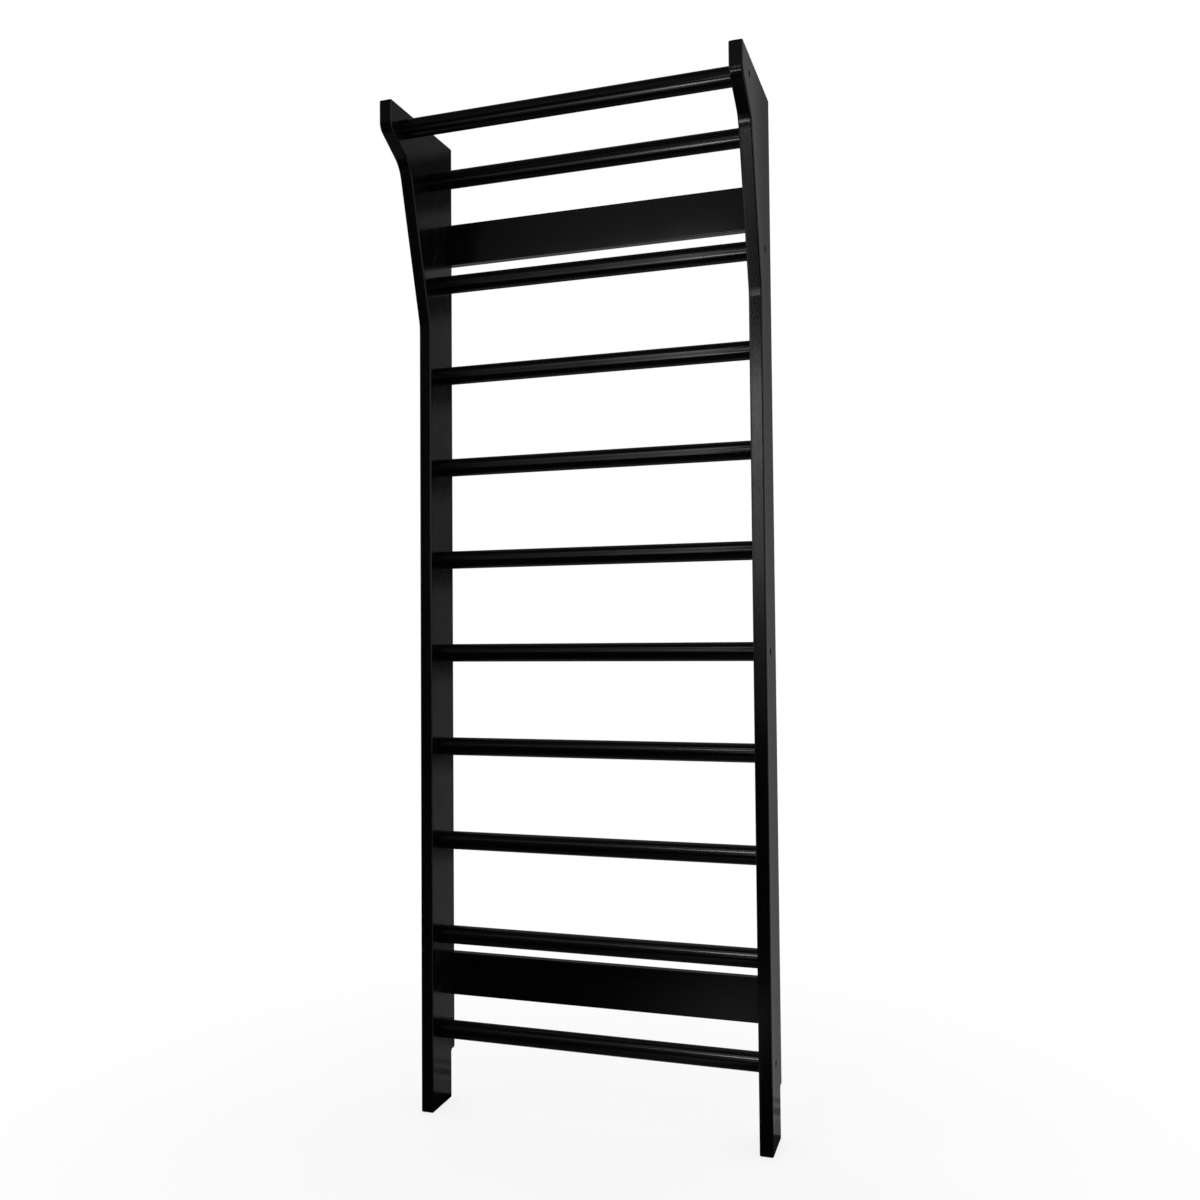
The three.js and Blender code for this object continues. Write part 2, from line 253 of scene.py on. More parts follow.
# Rows of soft boxes in front: depth, height and size of the row, the height it faces, its spread in degrees,
# and from left to right where each box begins and ends and how bright its face is
LAMP_ROWS = (
    LampRow(
        "near_low", -0.70, 1.42, 0.68, 1.61, 110,
        ((-0.60, -0.40, 0.20), (-0.40, -0.20, 0.36), (-0.20, -0.03, 0.78), (-0.03, 0.13, 1.35)),
    ),
    LampRow(
        "near_high", -0.70, 1.83, 0.18, 1.50, 66,
        ((-0.60, -0.40, 0.27), (-0.40, -0.20, 0.56), (-0.20, -0.03, 1.2), (-0.03, 0.13, 2.2)),
    ),
    LampRow(
        "near_top", -0.70, 2.01, 0.18, 1.53, 56,
        ((-0.60, -0.40, 0.30), (-0.40, -0.20, 0.64), (-0.20, -0.03, 1.4), (-0.03, 0.13, 2.6)),
    ),
    LampRow(
        "low_strip", -1.80, 0.78, 0.30, 1.94, 26,
        ((-1.30, -0.90, 0.2), (-0.90, -0.50, 0.7), (-0.50, -0.25, 2.4), (-0.25, -0.03, 16.0)),
    ),
    LampRow(
        "high_strip", -1.80, 2.02, 0.32, 0.37, 20,
        ((-1.30, -0.90, 0.5), (-0.90, -0.50, 0.9), (-0.50, -0.25, 2.4), (-0.25, -0.03, 22.0)),
    ),
    LampRow("far_bottom", -3.60, 0.80, 0.50, 1.40, 60, ((-0.35, -0.13, 0.45),)),
    LampRow("far_low", -3.60, 1.20, 0.30, 1.40, 60, ((-0.35, -0.13, 1.3),)),
    LampRow("far_middle", -3.60, 1.65, 0.60, 1.40, 60, ((-0.35, -0.13, 3.2),)),
    LampRow("far_high", -3.60, 2.17, 0.44, 1.43, 18, ((-0.35, -0.13, 8.0),)),
    LampRow("far_top", -3.60, 3.30, 0.90, 1.87, 60, ((-2.10, -1.50, 0.05), (-1.50, -0.20, 0.12))),
)

FLOOR_RADIUS = 40.0
FLOOR_DROP = 0.0003  # the floor lies this far under the feet
# The floor's shine is a painted pool of light that only mirrored rays see
SHINE_X = (-0.35, 0.15, 0.17, 0.28)  # the floor's shine grows between the first two places and ends by the last
SHINE_Y = (-1.2, -0.7)  # and grows from none to all between these two, towards the wall
SHADOW_REACH = 0.5  # the floor keeps its shading this far from the middle of the bars
WHITE_REACH = 1.5  # and is all white from here on
WALL_BAND = 0.02  # the mirrored floor brightens over this depth behind the bars
BELOW_Y = (-0.45, -0.10)  # the floor below the bars brightens between these two, towards the wall
BELOW_FACING = 0.6  # and loses that the more slantwise it is met, up to this Facing value
BESIDE_FLOOR = 0.018  # it is this much brighter right of the right upright
RIGHT_FLOOR = (0.5, 1.0)  # and brightens further between these two places on the right
LEFT_FLOOR = (-1.6, -2.4)  # and these on the left
SIDE_FLOOR = (-1.2, -0.6)  # but on both sides only from here on towards the wall
WALL_INSET = 0.0005  # the mirrored wall stands this far in front of the pieces' backs
WALL_WIDTH = 3.0
WALL_HEIGHT = 2.8
# The mirrored wall's light is painted by height and place: it dims upwards, and the lines below set its painted
# shades and painted light
WALL_FADE = (0.2, 2.1)  # heights between which the mirrored wall dims
# Painted shadows of the rungs on the mirrored wall's light
PAINTED_RUNG_SHADE = (0.018, 0.08)  # a ladder rung's shade on the wall starts and ends this far under its axis
PAINTED_HIGH_SHADE = (0.045, 0.085)  # the high rung's shade starts and ends this far from its middle
HIGH_SHADE_RISE = 0.041  # that middle's height over the rung's axis
# Painted light on the mirrored wall right under the upper rail
PAINTED_RAIL_GLOW = 2.1  # how much brighter the mirrored wall is right under the upper rail
# Painted shade on the mirrored wall close beside the right upright, with the light rising to this gain further right
PAINTED_BESIDE_GLOW = 2.0  # and a little way to the right of the right upright
BESIDE_REACH = (0.014, 0.044)  # that gain starts and is complete this far from the upright

# Painted light on the mirrored wall between the uprights, as a gain by share of its height: least in the middle, most
# at the top
INSIDE_PAINTED_GAINS = ((0.00, 1.0), (0.25, 1.0), (0.43, 0.75), (0.60, 1.17), (1.00, 1.62))

# The skirting board exists only as painted shade in the mirrored wall's light; no board is built
SKIRTING_TOP = 0.08  # the mirrored wall has a skirting board up to this height

# Painted shades on the board, at its foot and in two hollows: start, end and soft edge in shares of its height, and
# the share of the light that is left
PAINTED_SKIRTING_SHADES = ((0.00, 0.30, 0.12, 0.74), (0.51, 0.63, 0.06, 0.48), (0.82, 0.87, 0.08, 0.60))


# Meshes


class Shell:
    """Points, faces and rim values of one piece, gathered patch by patch into one closed mesh."""

    def __init__(self):
        self.points = np.empty((0, 3))
        self.rim = np.empty(0)
        self.faces = []

    def add_points(self, points, rim):
        """Adds a grid of points, rows by columns, and gives back the grid of their numbers."""
        rows, columns = points.shape[:2]
        numbers = len(self.points) + np.arange(rows * columns).reshape(rows, columns)
        self.points = np.concatenate([self.points, points.reshape(-1, 3)])
        self.rim = np.concatenate([self.rim, np.broadcast_to(rim, (rows, columns)).reshape(-1)])
        return numbers

    def add_faces(self, faces, flipped=False):
        """Adds faces given as rows of point numbers, turned over if asked."""
        self.faces += (faces[:, ::-1] if flipped else faces).tolist()

    def skin(self, numbers, flipped=False):
        """Joins each row of a closed grid to the next by quads, the last column back to the first."""
        beside = np.roll(numbers, -1, axis=1)
        quads = np.stack([numbers[:-1], numbers[1:], beside[1:], beside[:-1]], axis=-1)
        self.add_faces(quads.reshape(-1, 4), flipped)

    def disc(self, loop, flipped=False):
        """Closes a flat loop of points by one many-sided face."""
        self.add_faces(loop[None, :], flipped)

    def flat(self, outline, holes, flipped=False):
        """Fills a flat outline in a plane across X, less the round holes in it, by triangles."""
        loops = [outline, *holes]
        numbers = np.concatenate(loops)
        starts = np.cumsum([0] + [len(loop) for loop in loops[:-1]])
        edges = [
            np.stack([start + np.arange(len(loop)), start + np.roll(np.arange(len(loop)), -1)], axis=1)
            for start, loop in zip(starts, loops)
        ]
        places = self.points[numbers][:, 1:]
        made = delaunay_2d_cdt(places.tolist(), np.concatenate(edges).tolist(), [], 1, MERGE_DISTANCE)
        source = np.array([origins[0] for origins in made[3]])
        triangles = source[np.array(made[2])]
        centres = places[triangles].mean(axis=1)
        kept = np.ones(len(triangles), bool)
        for start, hole in zip(starts[1:], holes):
            rim = places[start:start + len(hole)]
            reach = np.linalg.norm(rim[0] - rim.mean(axis=0))
            kept &= np.linalg.norm(centres - rim.mean(axis=0), axis=1) > reach
        self.add_faces(numbers[triangles[kept]], flipped)

    def mirror(self):
        """Turns the piece over to the other side of x = 0, with its faces still pointing out."""
        self.points = self.points * (-1, 1, 1)
        self.faces = [face[::-1] for face in self.faces]

    def piece(self, node, material, slot):
        """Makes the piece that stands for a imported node, riding on the one body."""
        mesh = bpy.data.meshes.new(f"{node}_finished")
        mesh.from_pydata(self.points.tolist(), [], self.faces)
        if mesh.validate():
            raise RuntimeError(f"the mesh for {node} had faces that don't hold")
        mesh.polygons.foreach_set("use_smooth", np.ones(len(mesh.polygons), bool))
        mesh.set_sharp_from_angle(angle=SHARP_ANGLE)
        rim = mesh.attributes.new("rim", "FLOAT", "POINT")
        rim.data.foreach_set("value", self.rim.astype(np.float32))
        mesh.materials.append(material)
        piece = bpy.data.objects.new(mesh.name, mesh)
        bpy.context.scene.collection.objects.link(piece)
        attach(piece, BODY)
        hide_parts(node)
        return piece


def turned(radii, along, sides, y, z):
    """Rings about an axis along X at y, z: each ring has its place along X and a radius for every angle.

    A point is (along, y + radius cos a, z + radius sin a), the angle a going round once in equal steps.
    """
    angles = np.arange(sides) * (2 * math.pi / sides)
    radii = np.broadcast_to(np.asarray(radii, float).reshape(len(along), -1), (len(along), sides))
    x = np.broadcast_to(np.asarray(along, float)[:, None], radii.shape)
    return np.stack([x, y + radii * np.cos(angles), z + radii * np.sin(angles)], axis=-1)


def rounded_outline(corners, radii, insets):
    """A closed outline, counterclockwise in Y and Z, with round corners, at each of several insets.

    Moving every side in by the inset moves a corner in by inset (n1 + n2) / (1 + n1.n2), with n1 and n2 the
    outward normals of its two sides. A convex arc loses the inset from its radius and a hollow one gains it.
    An arc leaves its side radius tan(turn / 2) before the corner and swings about its centre by the turn.
    A supporting point stands on the side just before each arc and just after it.
    """
    ahead = np.roll(corners, -1, axis=0) - corners
    ahead = ahead / np.linalg.norm(ahead, axis=1, keepdims=True)
    before = np.roll(ahead, 1, axis=0)
    normal_before = before[:, ::-1] * (1, -1)
    normal_ahead = ahead[:, ::-1] * (1, -1)
    turn = np.arctan2(before[:, 0] * ahead[:, 1] - before[:, 1] * ahead[:, 0], (before * ahead).sum(axis=1))
    side = np.sign(turn)
    insets = np.asarray(insets, float)[:, None, None]
    pull = (normal_before + normal_ahead) / (1 + (normal_before * normal_ahead).sum(axis=1, keepdims=True))
    moved = corners - insets * pull
    radius = radii[:, None] - insets * side[:, None]
    reach = radius * np.tan(np.abs(turn) / 2)[:, None]
    start = moved - before * reach
    centre = start - normal_before * radius * side[:, None]
    swing = turn[:, None] * np.linspace(0, 1, ARC_STEPS + 1)
    spoke = (start - centre)[:, :, None, :]
    cos, sin = np.cos(swing)[..., None], np.sin(swing)[..., None]
    across = np.stack([-spoke[..., 1], spoke[..., 0]], axis=-1)
    arc = centre[:, :, None, :] + spoke * cos + across * sin
    lead = (start - before * SUPPORT)[:, :, None, :]
    trail = arc[:, :, -1:, :] + (ahead * SUPPORT)[:, None, :]
    return np.concatenate([lead, arc, trail], axis=2).reshape(len(insets), -1, 2)


def board(corners, radii, low_x, high_x, arris, low_holes=(), high_holes=(), through_holes=()):
    """A board across X: its outline carried over a rounded arris, its edge and the other arris.

    On an arris the inset is arris (1 - sin a) and the point lies arris (1 - cos a) under its face, the angle a
    going from the face, 0, to the edge, a right angle. A hole is a list of (radius, x) rings with its y and z:
    low holes start on the low face, high holes on the high face, and through holes join the two.
    """
    shell = Shell()
    sweep = np.linspace(0, math.pi / 2, ARRIS_STEPS + 1)
    inset = arris * (1 - np.sin(sweep))
    depth = arris * (1 - np.cos(sweep))
    half_inset = np.concatenate([[arris + SUPPORT], inset, [0]])
    half_depth = np.concatenate([[0], depth, [arris + SUPPORT]])
    half_rim = np.concatenate([[0], np.sin(2 * sweep), [0]])
    insets = np.concatenate([half_inset, half_inset[::-1]])
    x = np.concatenate([high_x - half_depth, low_x + half_depth[::-1]])
    rim = np.concatenate([half_rim, half_rim[::-1]])
    outline = rounded_outline(np.asarray(corners, float), np.asarray(radii, float), insets)
    across = np.broadcast_to(x[:, None, None], (*outline.shape[:2], 1))
    numbers = shell.add_points(np.concatenate([across, outline], axis=2), rim[:, None])
    shell.skin(numbers)
    low_loops = [drill(shell, hole, closed=True)[0] for hole in low_holes]
    high_loops = [drill(shell, hole, closed=True)[0] for hole in high_holes]
    through = [drill(shell, hole, closed=False) for hole in through_holes]
    shell.flat(numbers[0], high_loops + [loops[1] for loops in through])
    shell.flat(numbers[-1], low_loops + [loops[0] for loops in through], flipped=True)
    return shell


def drill(shell, hole, closed):
    """Lines a round hole with its rings, closes its floor if it is blind, and gives its first and last loop."""
    radii, along = np.array(hole.rings).T
    inward = along[-1] > along[0]
    chamfered = np.zeros(len(radii))
    chamfered[0] = 1
    chamfered[-1] = 0 if closed else 1
    numbers = shell.add_points(turned(radii, along, BORE_SIDES, hole.y, hole.z), chamfered[:, None])
    shell.skin(numbers, flipped=not inward)
    if closed:
        shell.disc(numbers[-1], flipped=inward)
    return numbers[0], numbers[-1]


Hole = namedtuple("Hole", "y z rings")


# Pieces


def upright_corners(sizes):
    """The upright's side outline as corners in Y and Z with their radii, from the rear top corner round."""
    bar = middle("pull_up_bar")
    top_rung = middle(TOP_LADDER_RUNG)
    front_y = top_rung[1] - sizes.rung_to_front
    head_y = WALL_Y - HEAD_DEPTH
    crest_z = bar[2] + sizes.crest_rise
    notch_y = WALL_Y - sizes.skirting_depth
    outline = (
        (WALL_Y, crest_z, sizes.corner_radius),
        (head_y, crest_z - sizes.crest_fall, sizes.corner_radius),
        (head_y, bar[2] - sizes.chin_drop, sizes.chin_radius),
        (head_y + sizes.head_overhang, bar[2] - sizes.throat_drop, sizes.throat_radius),
        (front_y, top_rung[2] - sizes.bend_drop, sizes.bend_radius),
        (front_y, 0, sizes.corner_radius),
        (notch_y, 0, sizes.corner_radius),
        (notch_y, sizes.skirting_height, sizes.skirting_radius),
        (WALL_Y, sizes.skirting_height, sizes.skirting_radius),
    )
    places = np.array(outline)
    return places[:, :2], places[:, 2]


def rung_socket(sizes, node):
    """Rings of the socket that holds a rung's end, and past it the bolt's hole and recess if it has a bolt."""
    _, y, z = middle(node)
    radius = RUNG_RADIUS + sizes.fit_gap
    floor_x = RUNG_END_X + sizes.fit_gap
    rings = [
        (radius + sizes.mouth_chamfer, INNER_X),
        (radius, INNER_X + sizes.mouth_chamfer),
        (radius, floor_x),
    ]
    if node in BOLTED_RUNGS:
        shank = sizes.bolt_shank_radius + sizes.fit_gap
        recess = BOLT_HEAD_RADIUS + sizes.recess_clearance
        recess_x = BOLT_TOP_X - sizes.bolt_head_height - sizes.fit_gap
        rings += [
            (shank, floor_x),
            (shank, recess_x),
            (recess, recess_x),
            (recess, OUTER_X - sizes.recess_chamfer),
            (recess + sizes.recess_chamfer, OUTER_X),
        ]
    return Hole(y, z, rings)


def dowel_hole(sizes, node, mouth_x, floor_x):
    """Rings of a plain blind hole for a dowel."""
    _, y, z = middle(node)
    radius = DOWEL_RADIUS + sizes.fit_gap
    return Hole(y, z, [(radius, mouth_x), (radius, floor_x)])


def upright_shell(sizes, side):
    """One upright: the board with its sockets, bolt recesses and dowel holes, for the right or the left."""
    corners, radii = upright_corners(sizes)
    sockets = [rung_socket(sizes, node) for node in RUNGS if node not in BOLTED_RUNGS]
    dowels = [
        dowel_hole(sizes, node, INNER_X, DOWEL_TIP_X + sizes.fit_gap)
        for node in DOWELS if node.startswith("right")
    ]
    bolted = [rung_socket(sizes, node) for node in RUNGS if node in BOLTED_RUNGS]
    shell = board(
        corners, radii, INNER_X, OUTER_X, sizes.upright_arris,
        low_holes=sockets + dowels, through_holes=bolted,
    )
    if side < 0:
        shell.mirror()
    return shell


def rail_shell(sizes, node):
    """A wall rail: a bar of rounded section between the uprights, with dowel holes in both ends."""
    low, high = box(node)
    corners = ((high[1], high[2]), (low[1], high[2]), (low[1], low[2]), (high[1], low[2]))
    floor_x = DOWEL_HEEL_X - sizes.fit_gap
    dowels = [dowel for dowel in DOWELS if dowel.startswith(f"right_dowel_{node}")]
    low_holes = [dowel_hole(sizes, dowel, low[0], -floor_x) for dowel in dowels]
    high_holes = [dowel_hole(sizes, dowel, high[0], floor_x) for dowel in dowels]
    radii = np.full(len(corners), sizes.rail_arris)
    return board(corners, radii, low[0], high[0], sizes.end_ease, low_holes, high_holes)


def rung_shell(sizes, node):
    """A rung turned about X: one profile from the floor of its left bore, round its outside, to the right one.

    A rung with no bolt has no bore, so its profile runs from one flat end to the other.
    """
    low, high = box(node)
    _, y, z = middle(node)
    chamfer = sizes.rung_chamfer
    half = [
        (RUNG_RADIUS - chamfer, high[0]),
        (RUNG_RADIUS, high[0] - chamfer),
        (RUNG_RADIUS, high[0] - chamfer - SUPPORT),
    ]
    if node in BOLTED_RUNGS:
        bore = INSERT_RADIUS + sizes.fit_gap
        half = [(bore, BOLT_TIP_X - sizes.bolt_tip_room), (bore, high[0])] + half
    half = np.array(half)
    profile = np.concatenate([half * (1, -1), half[::-1]])
    rim = np.isclose(profile[:, 0], RUNG_RADIUS - chamfer).astype(float)
    shell = Shell()
    numbers = shell.add_points(turned(profile[:, 0], profile[:, 1], RUNG_SIDES, y, z), rim[:, None])
    shell.skin(numbers, flipped=True)
    shell.disc(numbers[0], flipped=True)
    shell.disc(numbers[-1])
    return shell


def bolt_shell(sizes, node):
    """A socket-head bolt turned about X, its rings round on the outside and six-sided in the key socket.

    The socket's radius at an angle is half its width over the cosine of the angle from the nearest flat's
    middle, and the ridges on the head's side lower its radius by a cosine of the angle times their number.
    """
    _, y, z = middle(node)
    angles = np.arange(BOLT_SIDES) * (2 * math.pi / BOLT_SIDES)
    flat_angle = 2 * math.pi / HEX_SIDES
    key = sizes.hex_across_flats / 2 / np.cos((angles % flat_angle) - flat_angle / 2)
    ridges = BOLT_HEAD_RADIUS - sizes.knurl_depth * (0.5 - 0.5 * np.cos(KNURL_RIDGES * angles))
    top, tip, chamfer = BOLT_TOP_X, BOLT_TIP_X, sizes.bolt_chamfer
    seat = top - sizes.bolt_head_height
    key_floor = top - sizes.hex_depth
    plain = np.ones(BOLT_SIDES)
    rings = (
        (plain * (sizes.bolt_shank_radius - chamfer), tip, 0),
        (plain * sizes.bolt_shank_radius, tip + chamfer, 0),
        (plain * sizes.bolt_shank_radius, seat, 0),
        (plain * (BOLT_HEAD_RADIUS - chamfer / 2), seat, 0),
        (ridges, seat + chamfer / 2, 0),
        (ridges, top - chamfer, 1),
        (plain * (BOLT_HEAD_RADIUS - chamfer), top, 1),
        (key + chamfer / 2, top, 1),
        (key, top - chamfer / 2, 0.5),
        (key, key_floor, 0),
        (key / 4, key_floor - chamfer, 0),
    )
    radii = np.array([ring[0] for ring in rings])
    along = np.array([ring[1] for ring in rings])
    rim = np.array([ring[2] for ring in rings], float)
    shell = Shell()
    numbers = shell.add_points(turned(radii, along, BOLT_SIDES, y, z), rim[:, None])
    shell.skin(numbers, flipped=True)
    shell.disc(numbers[0], flipped=True)
    shell.disc(numbers[-1])
    if node.startswith("left"):
        shell.mirror()
    return shell


# Node groups shared by the materials


def add_node(tree, kind, label="", **settings):
    """Adds a node and sets its properties."""
    node = tree.nodes.new(kind)
    node.label = label
    for key, value in settings.items():
        setattr(node, key, value)
    return node


def wire(tree, source, target):
    """Feeds an output socket, or sets a plain value, into an input socket."""
    if isinstance(source, bpy.types.NodeSocket):
        tree.links.new(source, target)
    else:
        target.default_value = source


def maths(tree, operation, *inputs, clamp=False):
    """A Math node on sockets or plain values."""
    node = add_node(tree, "ShaderNodeMath", operation=operation, use_clamp=clamp)
    for index, source in enumerate(inputs):
        wire(tree, source, node.inputs[index])
    return node.outputs[0]


def ranged(tree, value, from_low, from_high, to_low, to_high, smooth=False):
    """A Map Range node, clamped."""
    kind = "SMOOTHSTEP" if smooth else "LINEAR"
    node = add_node(tree, "ShaderNodeMapRange", interpolation_type=kind)
    for index, source in enumerate((value, from_low, from_high, to_low, to_high)):
        wire(tree, source, node.inputs[index])
    return node.outputs[0]


def noise(tree, vector, scale, detail, roughness=0.5):
    """A Noise Texture's value."""
    node = add_node(tree, "ShaderNodeTexNoise")
    wire(tree, vector, node.inputs["Vector"])
    wire(tree, scale, node.inputs["Scale"])
    wire(tree, detail, node.inputs["Detail"])
    wire(tree, roughness, node.inputs["Roughness"])
    return node.outputs["Fac"]


def blended(tree, factor, first, second):
    """A colour Mix node on sockets or plain colours."""
    node = add_node(tree, "ShaderNodeMix", data_type="RGBA")
    wire(tree, factor, node.inputs["Factor"])
    for source, target in ((first, node.inputs[6]), (second, node.inputs[7])):
        wire(tree, source if isinstance(source, bpy.types.NodeSocket) else (*source, 1), target)
    return node.outputs[2]


def ramped(tree, value, stops):
    """A Color Ramp node in greys, straight from stop to stop, each a place and a level, from 0 to 1."""
    node = add_node(tree, "ShaderNodeValToRGB")
    wire(tree, value, node.inputs[0])
    elements = node.color_ramp.elements
    for place, _ in stops[1:-1]:
        elements.new(place)
    for element, (_, level) in zip(elements, stops):
        element.color = (level, level, level, 1)
    return node.outputs[0]


def new_group(name, inputs, outputs):
    """An empty shader node group with named sockets, and its two end nodes."""
    tree = bpy.data.node_groups.new(name, "ShaderNodeTree")
    for socket, kind in inputs:
        tree.interface.new_socket(socket, in_out="INPUT", socket_type=kind)
    for socket, kind in outputs:
        tree.interface.new_socket(socket, in_out="OUTPUT", socket_type=kind)
    return tree, add_node(tree, "NodeGroupInput").outputs, add_node(tree, "NodeGroupOutput").inputs


def grain_group():
    """Wood grain along the vector's X, with the lacquer's ripple over it and slow changes of tone."""
    tree, given, out = new_group(
        "Lacquered grain",
        (
            ("Vector", "NodeSocketVector"),
            ("Grain Width", "NodeSocketFloat"),
            ("Grain Stretch", "NodeSocketFloat"),
            ("Peel Width", "NodeSocketFloat"),
        ),
        (("Height", "NodeSocketFloat"), ("Tone", "NodeSocketFloat"), ("Dullness", "NodeSocketFloat")),
    )
    squeeze = add_node(tree, "ShaderNodeCombineXYZ")
    wire(tree, maths(tree, "DIVIDE", 1.0, given["Grain Stretch"]), squeeze.inputs[0])
    wire(tree, 1.0, squeeze.inputs[1])
    wire(tree, 1.0, squeeze.inputs[2])
    along = add_node(tree, "ShaderNodeVectorMath", operation="MULTIPLY")
    wire(tree, given["Vector"], along.inputs[0])
    wire(tree, squeeze.outputs[0], along.inputs[1])
    fibres = noise(tree, along.outputs[0], maths(tree, "DIVIDE", 1.0, given["Grain Width"]), 4.0, 0.62)
    figure = noise(tree, along.outputs[0], maths(tree, "DIVIDE", 0.08, given["Grain Width"]), 3.0, 0.55)
    peel = noise(tree, given["Vector"], maths(tree, "DIVIDE", 1.0, given["Peel Width"]), 1.0)
    patches = noise(tree, given["Vector"], maths(tree, "DIVIDE", 0.05, given["Peel Width"]), 2.0)
    height = maths(tree, "MULTIPLY_ADD", fibres, 0.45, maths(tree, "MULTIPLY", peel, 0.55))
    wire(tree, height, out["Height"])
    tone = maths(tree, "MULTIPLY", ranged(tree, fibres, 0.35, 0.7, 0, 1), ranged(tree, figure, 0.3, 0.7, 0, 1))
    wire(tree, tone, out["Tone"])
    dull = maths(tree, "MULTIPLY_ADD", tone, 0.5, maths(tree, "MULTIPLY", ranged(tree, patches, 0.3, 0.7, 0, 1), 0.5))
    wire(tree, dull, out["Dullness"])
    return tree


def ply_group():
    """Layers of a board stacked along the vector's X: fine lines that only its edges show."""
    tree, given, out = new_group(
        "Ply edges",
        (("Vector", "NodeSocketVector"), ("Ply Thickness", "NodeSocketFloat")),
        (("Line", "NodeSocketFloat"),),
    )
    parts = add_node(tree, "ShaderNodeSeparateXYZ")
    wire(tree, given["Vector"], parts.inputs[0])
    layers = add_node(tree, "ShaderNodeTexNoise", noise_dimensions="1D")
    wire(tree, maths(tree, "DIVIDE", parts.outputs[0], given["Ply Thickness"]), layers.inputs["W"])
    wire(tree, 1.0, layers.inputs["Scale"])
    wire(tree, 1.0, layers.inputs["Detail"])
    wire(tree, ranged(tree, layers.outputs["Fac"], 0.3, 0.7, 0, 1), out["Line"])
    return tree


def rub_group():
    """Broken wear along the edges that the rim attribute marks."""
    tree, given, out = new_group(
        "Edge rub",
        (("Rim", "NodeSocketFloat"), ("Vector", "NodeSocketVector"), ("Patch Size", "NodeSocketFloat")),
        (("Mask", "NodeSocketFloat"),),
    )
    broken = noise(tree, given["Vector"], maths(tree, "DIVIDE", 1.0, given["Patch Size"]), 4.0, 0.65)
    worn = ranged(tree, broken, 0.42, 0.72, 0, 1, smooth=True)
    wire(tree, maths(tree, "MULTIPLY", given["Rim"], worn, clamp=True), out["Mask"])
    return tree


def dust_group():
    """Thin patchy dust on faces whose normal points up."""
    tree, given, out = new_group(
        "Settled dust",
        (("Normal", "NodeSocketVector"), ("Vector", "NodeSocketVector"), ("Patch Size", "NodeSocketFloat")),
        (("Mask", "NodeSocketFloat"),),
    )
    parts = add_node(tree, "ShaderNodeSeparateXYZ")
    wire(tree, given["Normal"], parts.inputs[0])
    upward = ranged(tree, parts.outputs[2], 0.75, 1.0, 0, 1, smooth=True)
    patches = noise(tree, given["Vector"], maths(tree, "DIVIDE", 1.0, given["Patch Size"]), 5.0, 0.7)
    wire(tree, maths(tree, "MULTIPLY", upward, ranged(tree, patches, 0.35, 0.75, 0, 1), clamp=True), out["Mask"])
    return tree


GROUP_MAKERS = {
    "Lacquered grain": grain_group,
    "Ply edges": ply_group,
    "Edge rub": rub_group,
    "Settled dust": dust_group,
}


def use_group(tree, name, **inputs):
    """Places a shared node group, made when it is first needed, with its own values."""
    node = add_node(tree, "ShaderNodeGroup", node_tree=bpy.data.node_groups.get(name) or GROUP_MAKERS[name]())
    for key, source in inputs.items():
        wire(tree, source, node.inputs[key.replace("_", " ").title()])
    return node.outputs


# Materials


def new_material(name):
    """An empty node material: its tree, its Principled BSDF's inputs and its object coordinates."""
    material = bpy.data.materials.new(name)
    material.use_nodes = True
    tree = material.node_tree
    tree.nodes.clear()
    shader = add_node(tree, "ShaderNodeBsdfPrincipled")
    output = add_node(tree, "ShaderNodeOutputMaterial")
    wire(tree, shader.outputs[0], output.inputs["Surface"])
    coordinates = add_node(tree, "ShaderNodeTexCoord")
    return material, tree, shader.inputs, coordinates.outputs["Object"]


def bump(tree, height, distance):
    """A Bump node's normal."""
    node = add_node(tree, "ShaderNodeBump")
    node.inputs["Strength"].default_value = 1.0
    node.inputs["Distance"].default_value = distance
    wire(tree, height, node.inputs["Height"])
    return node.outputs["Normal"]


def rim_mask(tree, place, patch_size):
    """The shared edge wear, driven by the piece's own rim attribute."""
    rim = add_node(tree, "ShaderNodeAttribute", attribute_name="rim")
    return use_group(tree, "Edge rub", rim=rim.outputs["Fac"], vector=place, patch_size=patch_size)["Mask"]


def dust_mask(tree, place, patch_size):
    """The shared dust, driven by the surface's own direction."""
    facing = add_node(tree, "ShaderNodeNewGeometry").outputs["Normal"]
    return use_group(tree, "Settled dust", normal=facing, vector=place, patch_size=patch_size)["Mask"]


